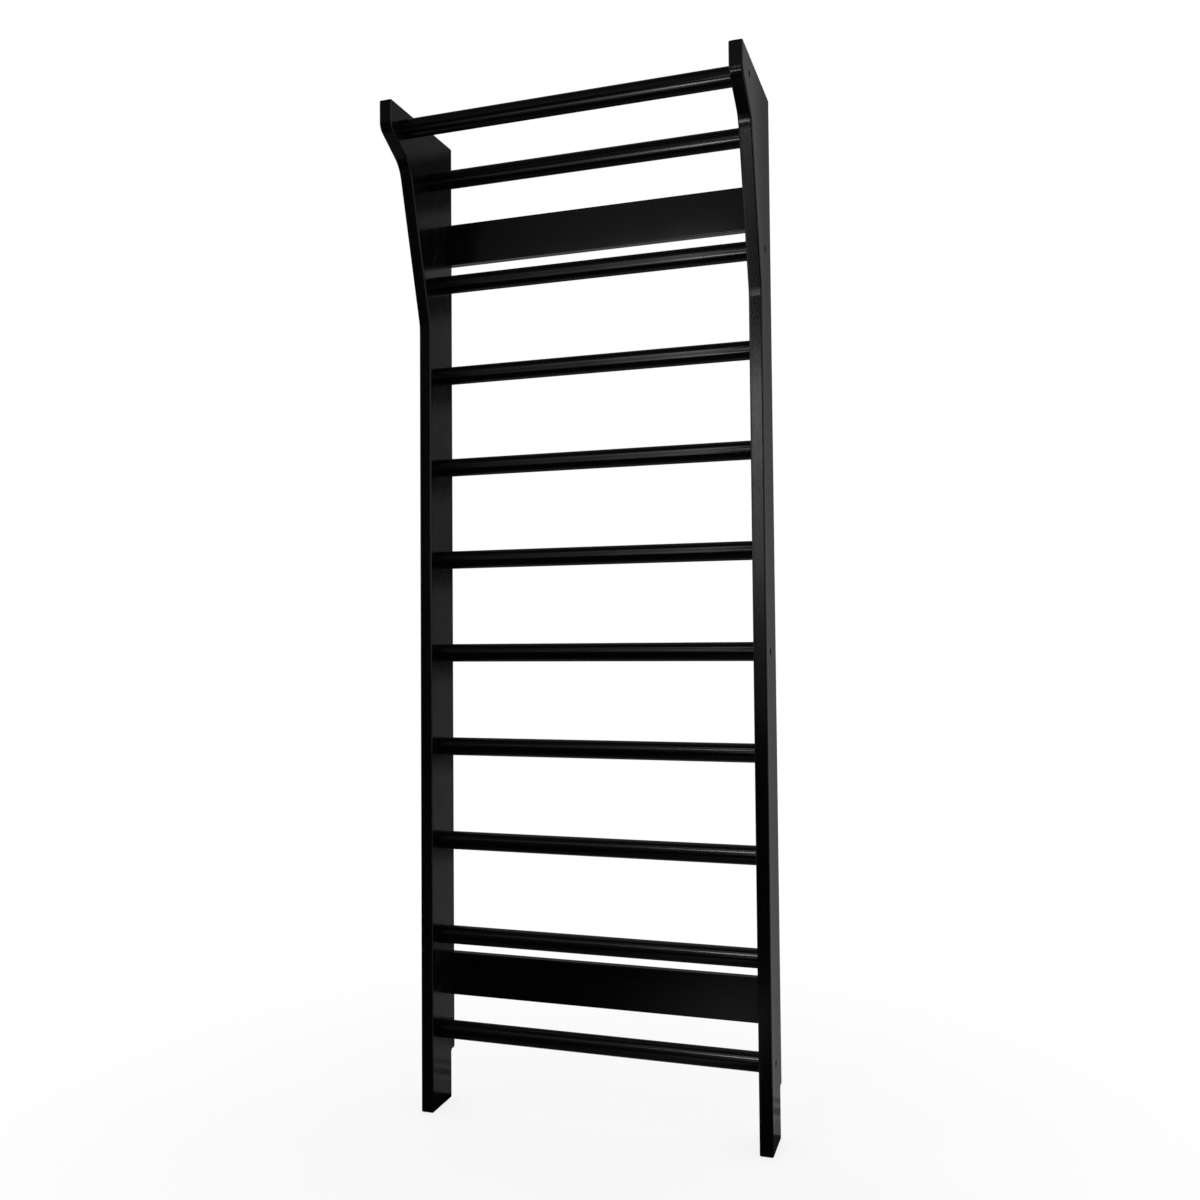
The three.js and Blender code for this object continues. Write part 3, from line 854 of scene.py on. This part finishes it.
def lacquer_material(finish, name, grain_turn, plies):
    """Satin black lacquer over wood whose grain runs along X once the coordinates are turned by grain_turn."""
    found = bpy.data.materials.get(name)
    if found:
        return found
    material, tree, shader, place = new_material(name)
    mapping = add_node(tree, "ShaderNodeMapping")
    mapping.inputs["Rotation"].default_value = grain_turn
    wire(tree, place, mapping.inputs["Vector"])
    grain = use_group(
        tree, "Lacquered grain", vector=mapping.outputs[0], grain_width=finish.grain_width,
        grain_stretch=finish.grain_stretch, peel_width=finish.peel_width,
    )
    height, dullness, tone = grain["Height"], grain["Dullness"], grain["Tone"]
    if plies:
        line = use_group(tree, "Ply edges", vector=place, ply_thickness=finish.ply_thickness)["Line"]
        height = maths(tree, "MULTIPLY_ADD", line, 0.6, height)
        dullness = maths(tree, "MULTIPLY_ADD", line, 0.5, maths(tree, "MULTIPLY", dullness, 0.6))
    rub = rim_mask(tree, place, 0.03)
    dust = dust_mask(tree, place, 0.02)
    body = blended(tree, tone, tuple(finish.black), tuple(finish.thin_black))
    rubbed = blended(tree, maths(tree, "MULTIPLY", rub, 0.6), body, tuple(finish.rubbed))
    wire(tree, blended(tree, maths(tree, "MULTIPLY", dust, 0.12), rubbed, tuple(finish.dust)), shader["Base Color"])
    rough = ranged(tree, dullness, 0, 1, finish.gloss_low, finish.gloss_high)
    rough = maths(tree, "MULTIPLY_ADD", rub, 0.08, rough)
    wire(tree, maths(tree, "MULTIPLY_ADD", dust, 0.10, rough), shader["Roughness"])
    wire(tree, bump(tree, height, finish.relief), shader["Normal"])
    return material


def board_lacquer(finish):
    """Lacquer on the uprights, whose grain runs up and whose edges show plies."""
    return lacquer_material(finish, "black_lacquer_board", (0, math.pi / 2, 0), plies=True)


def bar_lacquer(finish):
    """Lacquer on the rungs and rails, whose grain runs across."""
    return lacquer_material(finish, "black_lacquer_bar", (0, 0, 0), plies=False)


def bolt_material(finish):
    """Blackened steel, rubbed bare along the head's edges, with a little dust."""
    material, tree, shader, place = new_material("blackened_steel")
    patches = noise(tree, place, 420.0, 3.0)
    rub = rim_mask(tree, place, 0.002)
    dust = dust_mask(tree, place, 0.003)
    dark = tuple(0.7 * part for part in finish.steel_black)
    tone = blended(tree, patches, dark, tuple(finish.steel_black))
    tone = blended(tree, maths(tree, "MULTIPLY", rub, 0.5), tone, tuple(finish.steel_bare))
    wire(tree, blended(tree, maths(tree, "MULTIPLY", dust, 0.1), tone, tuple(finish.dust)), shader["Base Color"])
    wire(tree, ranged(tree, patches, 0, 1, 0.30, 0.48), shader["Roughness"])
    wire(tree, bump(tree, patches, 0.00001), shader["Normal"])
    shader["Metallic"].default_value = 1.0
    return material


def zinc_material(finish):
    """Zinc plate with dull patches and fine turning marks along X."""
    material, tree, shader, place = new_material("zinc_plate")
    patches = noise(tree, place, 260.0, 3.0)
    marks = use_group(tree, "Ply edges", vector=place, ply_thickness=0.0006)["Line"]
    wire(tree, blended(tree, patches, tuple(finish.zinc), tuple(finish.zinc_dull)), shader["Base Color"])
    wire(tree, ranged(tree, marks, 0, 1, 0.28, 0.42), shader["Roughness"])
    wire(tree, bump(tree, marks, 0.00002), shader["Normal"])
    shader["Metallic"].default_value = 1.0
    return material


def beech_material(finish):
    """Bare beech, its grain along the dowel."""
    material, tree, shader, place = new_material("bare_beech")
    grain = use_group(
        tree, "Lacquered grain", vector=place, grain_width=0.0007, grain_stretch=18.0, peel_width=0.004
    )
    wire(tree, blended(tree, grain["Tone"], tuple(finish.beech), tuple(finish.beech_dark)), shader["Base Color"])
    wire(tree, ranged(tree, grain["Dullness"], 0, 1, 0.55, 0.75), shader["Roughness"])
    wire(tree, bump(tree, grain["Height"], 0.00005), shader["Normal"])
    return material


# Stage


def rays(tree):
    """Light Path masks: rays that see the white backdrop straight or through glass, and mirrored rays."""
    path = add_node(tree, "ShaderNodeLightPath").outputs
    seen = maths(tree, "MAXIMUM", path["Is Camera Ray"], path["Is Transmission Ray"])
    return seen, path["Is Glossy Ray"]


def picked(tree, factor, first, second):
    """A Mix Shader node."""
    node = add_node(tree, "ShaderNodeMixShader")
    for index, source in enumerate((factor, first, second)):
        wire(tree, source, node.inputs[index])
    return node.outputs[0]


def glow(tree, kind, level):
    """An even white light of some level, for the world or for a surface."""
    node = add_node(tree, kind)
    node.inputs["Color"].default_value = (1, 1, 1, 1)
    wire(tree, level, node.inputs["Strength"])
    return node.outputs[0]


def light_world(stage):
    """White where it is seen, an even light on everything, and in mirrors a room that is dim in front."""
    world = bpy.data.worlds.new("studio")
    world.use_nodes = True
    tree = world.node_tree
    tree.nodes.clear()
    seen, mirrored = rays(tree)
    direction = add_node(tree, "ShaderNodeSeparateXYZ")
    wire(tree, add_node(tree, "ShaderNodeTexCoord").outputs["Generated"], direction.inputs[0])
    aside, ahead, rise = direction.outputs
    room = ranged(tree, rise, 0.1, 0.5, stage.room_glow, stage.ceiling_glow, smooth=True)
    room = maths(tree, "MULTIPLY", room, ranged(tree, aside, -0.45, -0.15, stage.left_dim, 1.0))
    behind = ranged(tree, ahead, -0.2, 0.3, 0.0, 1.0, smooth=True)
    beside = ranged(tree, maths(tree, "ABSOLUTE", aside), 0.57, 0.8, 0.0, 1.0, smooth=True)
    away = maths(tree, "MAXIMUM", behind, beside)
    sides = maths(tree, "MULTIPLY_ADD", away, maths(tree, "SUBTRACT", stage.side_glow, room), room)
    overhead = ranged(tree, rise, 0.6, 0.9, 0.0, 1.0, smooth=True)
    level = maths(tree, "MULTIPLY_ADD", overhead, maths(tree, "SUBTRACT", stage.top_glow, sides), sides)
    unseen = picked(
        tree, mirrored, glow(tree, "ShaderNodeBackground", stage.ambient), glow(tree, "ShaderNodeBackground", level)
    )
    shown = picked(tree, seen, unseen, glow(tree, "ShaderNodeBackground", 1.0))
    wire(tree, shown, add_node(tree, "ShaderNodeOutputWorld").inputs["Surface"])
    bpy.context.scene.world = world


def place_parts(tree):
    """The three coordinates of a place on a stage piece."""
    parts = add_node(tree, "ShaderNodeSeparateXYZ")
    wire(tree, add_node(tree, "ShaderNodeTexCoord").outputs["Object"], parts.inputs[0])
    return parts.outputs


def painted_floor_reflection(tree, stage):
    """Painted reflection of the floor, its light set by place: dark in front with a painted shine on the right,
    brighter to the sides and behind.

    The shine grows with the square of its place across, and is strongest where the floor is met at a slant.
    """
    across, depth, _ = place_parts(tree)
    grown = maths(tree, "POWER", ranged(tree, across, SHINE_X[0], SHINE_X[1], 0.0, 1.0), 2.0)
    ended = ranged(tree, across, SHINE_X[2], SHINE_X[3], 1.0, 0.0)
    near = ranged(tree, depth, SHINE_Y[0], SHINE_Y[1], 0.0, 1.0, smooth=True)
    slant = add_node(tree, "ShaderNodeLayerWeight").outputs["Facing"]
    shine = maths(tree, "MULTIPLY", maths(tree, "MULTIPLY", grown, ended), maths(tree, "MULTIPLY", near, slant))
    under = ranged(tree, depth, BELOW_Y[0], BELOW_Y[1], 0.0, stage.floor_under, smooth=True)
    below = maths(tree, "MULTIPLY", under, ranged(tree, slant, 0.0, BELOW_FACING, 1.0, 0.0))
    beside = maths(tree, "MULTIPLY", maths(tree, "GREATER_THAN", across, OUTER_X), BESIDE_FLOOR)
    plain = maths(tree, "ADD", maths(tree, "ADD", below, beside), stage.floor_shade)
    front = maths(tree, "MULTIPLY_ADD", shine, stage.floor_glow, plain)
    behind = ranged(tree, depth, WALL_Y, WALL_Y + WALL_BAND, 0.0, stage.side_floor)
    right = ranged(tree, across, RIGHT_FLOOR[0], RIGHT_FLOOR[1], 0.0, stage.side_floor, smooth=True)
    left = ranged(tree, across, LEFT_FLOOR[0], LEFT_FLOOR[1], 0.0, stage.side_floor, smooth=True)
    level_with = ranged(tree, depth, SIDE_FLOOR[0], SIDE_FLOOR[1], 0.0, 1.0, smooth=True)
    flanks = maths(tree, "MULTIPLY", maths(tree, "MAXIMUM", right, left), level_with)
    around = maths(tree, "MAXIMUM", behind, flanks)
    return maths(tree, "MAXIMUM", front, around)


def painted_skirting_stops():
    """Places and levels of the painted shade on the mirrored skirting board, from its foot to its top."""
    stops = []
    for low, high, soft, level in PAINTED_SKIRTING_SHADES:
        stops += [(low - soft, 1.0), (low, level), (high, level), (high + soft, 1.0)]
    return [*stops[1:], (1.0, 1.0)]


def painted_wall_reflection(tree, stage):
    """Painted reflection of a wall: how bright the glowing sheet is in mirrors, painted by place.

    It dims upwards and has a painted soft shade under every rung between the uprights. Painted light makes it
    brighter right under the upper rail, painted shade keeps it darker right beside the right upright than a little
    way to its right, and the painted shades of a moulded skirting board, which is not built, run along its foot.
    """
    across, _, height = place_parts(tree)
    even = ranged(tree, height, WALL_FADE[0], WALL_FADE[1], stage.wall_glow, stage.wall_dim)
    first = float(middle("rung_1")[2])
    last = float(middle(TOP_LADDER_RUNG)[2])
    pitch = float(middle("rung_2")[2]) - first
    # Painted shade under each rung
    steps = maths(tree, "DIVIDE", maths(tree, "SUBTRACT", height, first), pitch)
    under = maths(tree, "MULTIPLY", maths(tree, "SUBTRACT", 1.0, maths(tree, "FRACT", steps)), pitch)
    ladder_shade = ranged(tree, under, PAINTED_RUNG_SHADE[0], PAINTED_RUNG_SHADE[1], stage.wall_shade, 1.0, smooth=True)
    high_middle = float(middle("high_rung")[2]) + HIGH_SHADE_RISE
    from_high = maths(tree, "ABSOLUTE", maths(tree, "SUBTRACT", height, high_middle))
    high_shade = ranged(tree, from_high, PAINTED_HIGH_SHADE[0], PAINTED_HIGH_SHADE[1], stage.wall_shade, 1.0, smooth=True)
    above = maths(tree, "GREATER_THAN", height, last)
    rung_painted_shade = maths(tree, "MULTIPLY_ADD", above, maths(tree, "SUBTRACT", high_shade, ladder_shade), ladder_shade)
    # Painted light right under the upper rail
    rail = middle("upper_rail")
    rail_painted_light = ranged(tree, height, last, float(box("upper_rail")[0][2]), 0.0, PAINTED_RAIL_GLOW - 1.0)
    rail_painted_light = maths(tree, "MULTIPLY", rail_painted_light, maths(tree, "LESS_THAN", height, float(rail[2])))
    # Painted gain by height between the uprights
    tone = ramped(tree, maths(tree, "DIVIDE", height, WALL_HEIGHT), INSIDE_PAINTED_GAINS)
    inside = maths(tree, "MULTIPLY", maths(tree, "MULTIPLY", rung_painted_shade, tone), maths(tree, "ADD", rail_painted_light, 1.0))
    # Painted shade close beside the right upright, twice the light further right
    beside = ranged(
        tree, across, OUTER_X + BESIDE_REACH[0], OUTER_X + BESIDE_REACH[1], 1.0, PAINTED_BESIDE_GLOW, smooth=True
    )
    outside = maths(tree, "GREATER_THAN", maths(tree, "ABSOLUTE", across), INNER_X)
    gain = maths(tree, "MULTIPLY_ADD", outside, maths(tree, "SUBTRACT", beside, inside), inside)
    # Painted shades of the skirting board
    skirting = ramped(tree, maths(tree, "DIVIDE", height, SKIRTING_TOP), painted_skirting_stops())
    return maths(tree, "MULTIPLY", maths(tree, "MULTIPLY", even, gain), skirting)


def backdrop_share(tree, stage):
    """How far the floor is white: little of its shading is kept near the bars and none far from them."""
    away = add_node(tree, "ShaderNodeVectorMath", operation="LENGTH")
    wire(tree, add_node(tree, "ShaderNodeTexCoord").outputs["Object"], away.inputs[0])
    return ranged(tree, away.outputs["Value"], SHADOW_REACH, WHITE_REACH, stage.floor_white, 1.0, smooth=True)


def floor_material(stage):
    """Pale floor that fades into the white backdrop and keeps a faint shadow."""
    material = bpy.data.materials.new("pale_floor")
    material.use_nodes = True
    tree = material.node_tree
    tree.nodes.clear()
    seen, mirrored = rays(tree)
    matt = add_node(tree, "ShaderNodeBsdfDiffuse")
    matt.inputs["Color"].default_value = (*stage.floor_colour, 1)
    white = glow(tree, "ShaderNodeEmission", 1.0)
    shown = picked(tree, maths(tree, "MULTIPLY", seen, backdrop_share(tree, stage)), matt.outputs[0], white)
    # Mirrored rays see a painted reflection of the floor instead of its shading
    surface = picked(tree, mirrored, shown, glow(tree, "ShaderNodeEmission", painted_floor_reflection(tree, stage)))
    under = add_node(tree, "ShaderNodeNewGeometry").outputs["Backfacing"]
    clear = add_node(tree, "ShaderNodeBsdfTransparent").outputs[0]
    wire(tree, picked(tree, under, surface, clear), add_node(tree, "ShaderNodeOutputMaterial").inputs["Surface"])
    return material


def make_floor(stage):
    """A flat disc: a point is (r cos a, r sin a), with r growing by equal ratios from ring to ring."""
    rings = np.geomspace(1.0, FLOOR_RADIUS, FLOOR_RINGS)
    spread = turned(rings, np.full(FLOOR_RINGS, -FLOOR_DROP), FLOOR_SIDES, 0, 0)
    shell = Shell()
    numbers = shell.add_points(spread[..., [1, 2, 0]], 0.0)
    shell.skin(numbers)
    shell.disc(numbers[0])
    mesh = bpy.data.meshes.new("floor")
    mesh.from_pydata(shell.points.tolist(), [], shell.faces)
    mesh.materials.append(floor_material(stage))
    floor = bpy.data.objects.new("floor", mesh)
    bpy.context.scene.collection.objects.link(floor)


def wall_material(stage):
    """A glowing sheet that only mirrored rays from its front meet, showing a painted reflection of a wall."""
    material = bpy.data.materials.new("painted_wall_reflection")
    material.use_nodes = True
    tree = material.node_tree
    tree.nodes.clear()
    front = maths(tree, "SUBTRACT", 1.0, add_node(tree, "ShaderNodeNewGeometry").outputs["Backfacing"])
    met = maths(tree, "MULTIPLY", rays(tree)[1], front)
    clear = add_node(tree, "ShaderNodeBsdfTransparent").outputs[0]
    surface = picked(tree, met, clear, glow(tree, "ShaderNodeEmission", painted_wall_reflection(tree, stage)))
    wire(tree, surface, add_node(tree, "ShaderNodeOutputMaterial").inputs["Surface"])
    return material


def make_wall(stage):
    """The glowing sheet that the bars' sides mirror, a painted reflection of a wall: one flat sheet, level with the
    pieces' backs.
    """
    y = WALL_Y - WALL_INSET
    half = WALL_WIDTH / 2
    corners = ((-half, y, 0), (half, y, 0), (half, y, WALL_HEIGHT), (-half, y, WALL_HEIGHT))
    mesh = bpy.data.meshes.new("wall")
    mesh.from_pydata(corners, [], [(0, 1, 2, 3)])
    mesh.materials.append(wall_material(stage))
    wall = bpy.data.objects.new("wall", mesh)
    bpy.context.scene.collection.objects.link(wall)


def lamp_power(soft_box):
    """Watts at which a soft box's face shows its level along its axis.

    A face of area A and radiance L gives pi A L watts. A narrower spread, with half angle h, gathers that light
    forwards by tan h / (tan h - h).
    """
    flux = math.pi * soft_box.width * soft_box.height * soft_box.level
    half = math.radians(soft_box.spread) / 2
    if half < math.pi / 2 - 1e-6:
        flux *= (math.tan(half) - half) / math.tan(half)
    return flux


def hang_lamp(soft_box):
    """One soft box, seen in mirrors but not by the camera."""
    light = bpy.data.lights.new(soft_box.name, "AREA")
    light.shape = "RECTANGLE"
    light.size = soft_box.width
    light.size_y = soft_box.height
    light.spread = math.radians(soft_box.spread)
    light.energy = lamp_power(soft_box)
    lamp = bpy.data.objects.new(soft_box.name, light)
    facing = Vector(soft_box.aim) - Vector(soft_box.place)
    lamp.matrix_world = Matrix.Translation(soft_box.place) @ facing.to_track_quat("-Z", "Y").to_matrix().to_4x4()
    lamp.visible_camera = False
    bpy.context.scene.collection.objects.link(lamp)


def row_boxes(row, eye):
    """The soft boxes of a row, each turned to the place on the rungs that mirrors it to the eye.

    With the lamp at a distance d in front of the rungs and the eye at a distance e, that place lies across at
    (x e + eye x d) / (d + e).
    """
    rung_y = float(middle("rung_1")[1])
    lamp_reach = rung_y - row.y
    eye_reach = rung_y - eye[1]
    for number, (left, right, level) in enumerate(row.parts, start=1):
        x = (left + right) / 2
        aim_x = (x * eye_reach + eye[0] * lamp_reach) / (lamp_reach + eye_reach)
        yield SoftBox(
            f"{row.name}_{number}", (x, row.y, row.z), (aim_x, rung_y, row.aim_z), right - left, row.height,
            row.spread, level,
        )


def make_camera(stage):
    """The camera, turned left by its yaw, up by its pitch, and about the view by its roll."""
    yaw, pitch, roll = stage.camera_yaw, stage.camera_pitch, stage.camera_roll
    ahead = Vector((-math.sin(yaw) * math.cos(pitch), math.cos(yaw) * math.cos(pitch), math.sin(pitch)))
    right = Vector((math.cos(yaw), math.sin(yaw), 0))
    up = right.cross(ahead)
    turned_right = right * math.cos(roll) + up * math.sin(roll)
    turned_up = up * math.cos(roll) - right * math.sin(roll)
    axes = Matrix((turned_right, turned_up, -ahead)).transposed()
    data = bpy.data.cameras.new("camera")
    data.lens = stage.camera_lens
    camera = bpy.data.objects.new("camera", data)
    camera.matrix_world = Matrix.Translation(stage.camera_place) @ axes.to_4x4()
    bpy.context.scene.collection.objects.link(camera)
    bpy.context.scene.camera = camera


# Operators


class WALLBARS_OT_uprights(Operator):
    """Makes both uprights with their sockets, recesses and rounded arrises."""

    bl_idname = "wall_bars.make_uprights"
    bl_label = "Make uprights"

    def execute(self, context):
        scene = context.scene
        material = board_lacquer(scene.wall_bars_finish)
        for hand, side in HANDS.items():
            upright_shell(scene.wall_bars_sizes, side).piece(f"{hand}_upright", material, LACQUER_SLOT)
        return {"FINISHED"}


class WALLBARS_OT_rungs(Operator):
    """Turns the nine ladder rungs, the high rung and the pull-up bar."""

    bl_idname = "wall_bars.make_rungs"
    bl_label = "Make rungs"

    def execute(self, context):
        scene = context.scene
        material = bar_lacquer(scene.wall_bars_finish)
        for node in RUNGS:
            rung_shell(scene.wall_bars_sizes, node).piece(node, material, LACQUER_SLOT)
        return {"FINISHED"}


class WALLBARS_OT_rails(Operator):
    """Makes the two wall rails."""

    bl_idname = "wall_bars.make_rails"
    bl_label = "Make rails"

    def execute(self, context):
        scene = context.scene
        material = bar_lacquer(scene.wall_bars_finish)
        for node in RAILS:
            rail_shell(scene.wall_bars_sizes, node).piece(node, material, LACQUER_SLOT)
        return {"FINISHED"}


class WALLBARS_OT_bolts(Operator):
    """Turns the eight socket-head bolts."""

    bl_idname = "wall_bars.make_bolts"
    bl_label = "Make bolts"

    def execute(self, context):
        scene = context.scene
        material = bolt_material(scene.wall_bars_finish)
        for node in BOLTS:
            bolt_shell(scene.wall_bars_sizes, node).piece(node, material, BOLT_SLOT)
        return {"FINISHED"}


class WALLBARS_OT_fixings(Operator):
    """Finishes the inserts and dowels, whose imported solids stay."""

    bl_idname = "wall_bars.finish_fixings"
    bl_label = "Finish inserts and dowels"

    def execute(self, context):
        finish = context.scene.wall_bars_finish
        for names, material in ((INSERTS, zinc_material(finish)), (DOWELS, beech_material(finish))):
            for name in names:
                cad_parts[name].data.materials.clear()
                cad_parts[name].data.materials.append(material)
        return {"FINISHED"}


class WALLBARS_OT_stage(Operator):
    """Sets the camera, the soft boxes, the world and the floor."""

    bl_idname = "wall_bars.set_stage"
    bl_label = "Set stage"

    def execute(self, context):
        stage = context.scene.wall_bars_stage
        context.scene.view_settings.view_transform = "Standard"
        make_camera(stage)
        light_world(stage)
        make_floor(stage)
        make_wall(stage)
        rows = [soft_box for row in LAMP_ROWS for soft_box in row_boxes(row, stage.camera_place)]
        for soft_box in (*SOFT_BOXES, *rows):
            hang_lamp(soft_box)
        return {"FINISHED"}


OPERATORS = (
    WALLBARS_OT_stage,
    WALLBARS_OT_uprights,
    WALLBARS_OT_rungs,
    WALLBARS_OT_rails,
    WALLBARS_OT_bolts,
    WALLBARS_OT_fixings,
)


class WALLBARS_PT_panel(Panel):
    """Lists the steps and the values that they use."""

    bl_idname = "WALLBARS_PT_panel"
    bl_label = "Wall Bars"
    bl_space_type = "VIEW_3D"
    bl_region_type = "UI"
    bl_category = "Wall Bars"

    def draw(self, context):
        layout = self.layout
        for operator in OPERATORS:
            layout.operator(operator.bl_idname)
        for group in ("wall_bars_sizes", "wall_bars_finish", "wall_bars_stage"):
            values = getattr(context.scene, group)
            column = layout.column(align=True)
            for name in values.__annotations__:
                column.prop(values, name)


PROPERTY_GROUPS = {
    "wall_bars_sizes": WallBarsSizes,
    "wall_bars_finish": WallBarsFinish,
    "wall_bars_stage": WallBarsStage,
}
CLASSES = (*PROPERTY_GROUPS.values(), *OPERATORS, WALLBARS_PT_panel)


def register():
    """Registers the classes and hangs the property groups on the scene."""
    for cls in CLASSES:
        bpy.utils.register_class(cls)
    for name, group in PROPERTY_GROUPS.items():
        setattr(bpy.types.Scene, name, PointerProperty(type=group))


def unregister():
    """Takes the property groups and the classes away again."""
    for name in PROPERTY_GROUPS:
        delattr(bpy.types.Scene, name)
    for cls in reversed(CLASSES):
        bpy.utils.unregister_class(cls)


def main():
    """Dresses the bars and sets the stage."""
    register()
    bpy.ops.wall_bars.set_stage()
    bpy.ops.wall_bars.make_uprights()
    bpy.ops.wall_bars.make_rungs()
    bpy.ops.wall_bars.make_rails()
    bpy.ops.wall_bars.make_bolts()
    bpy.ops.wall_bars.finish_fixings()


if __name__ == "__main__":
    main()
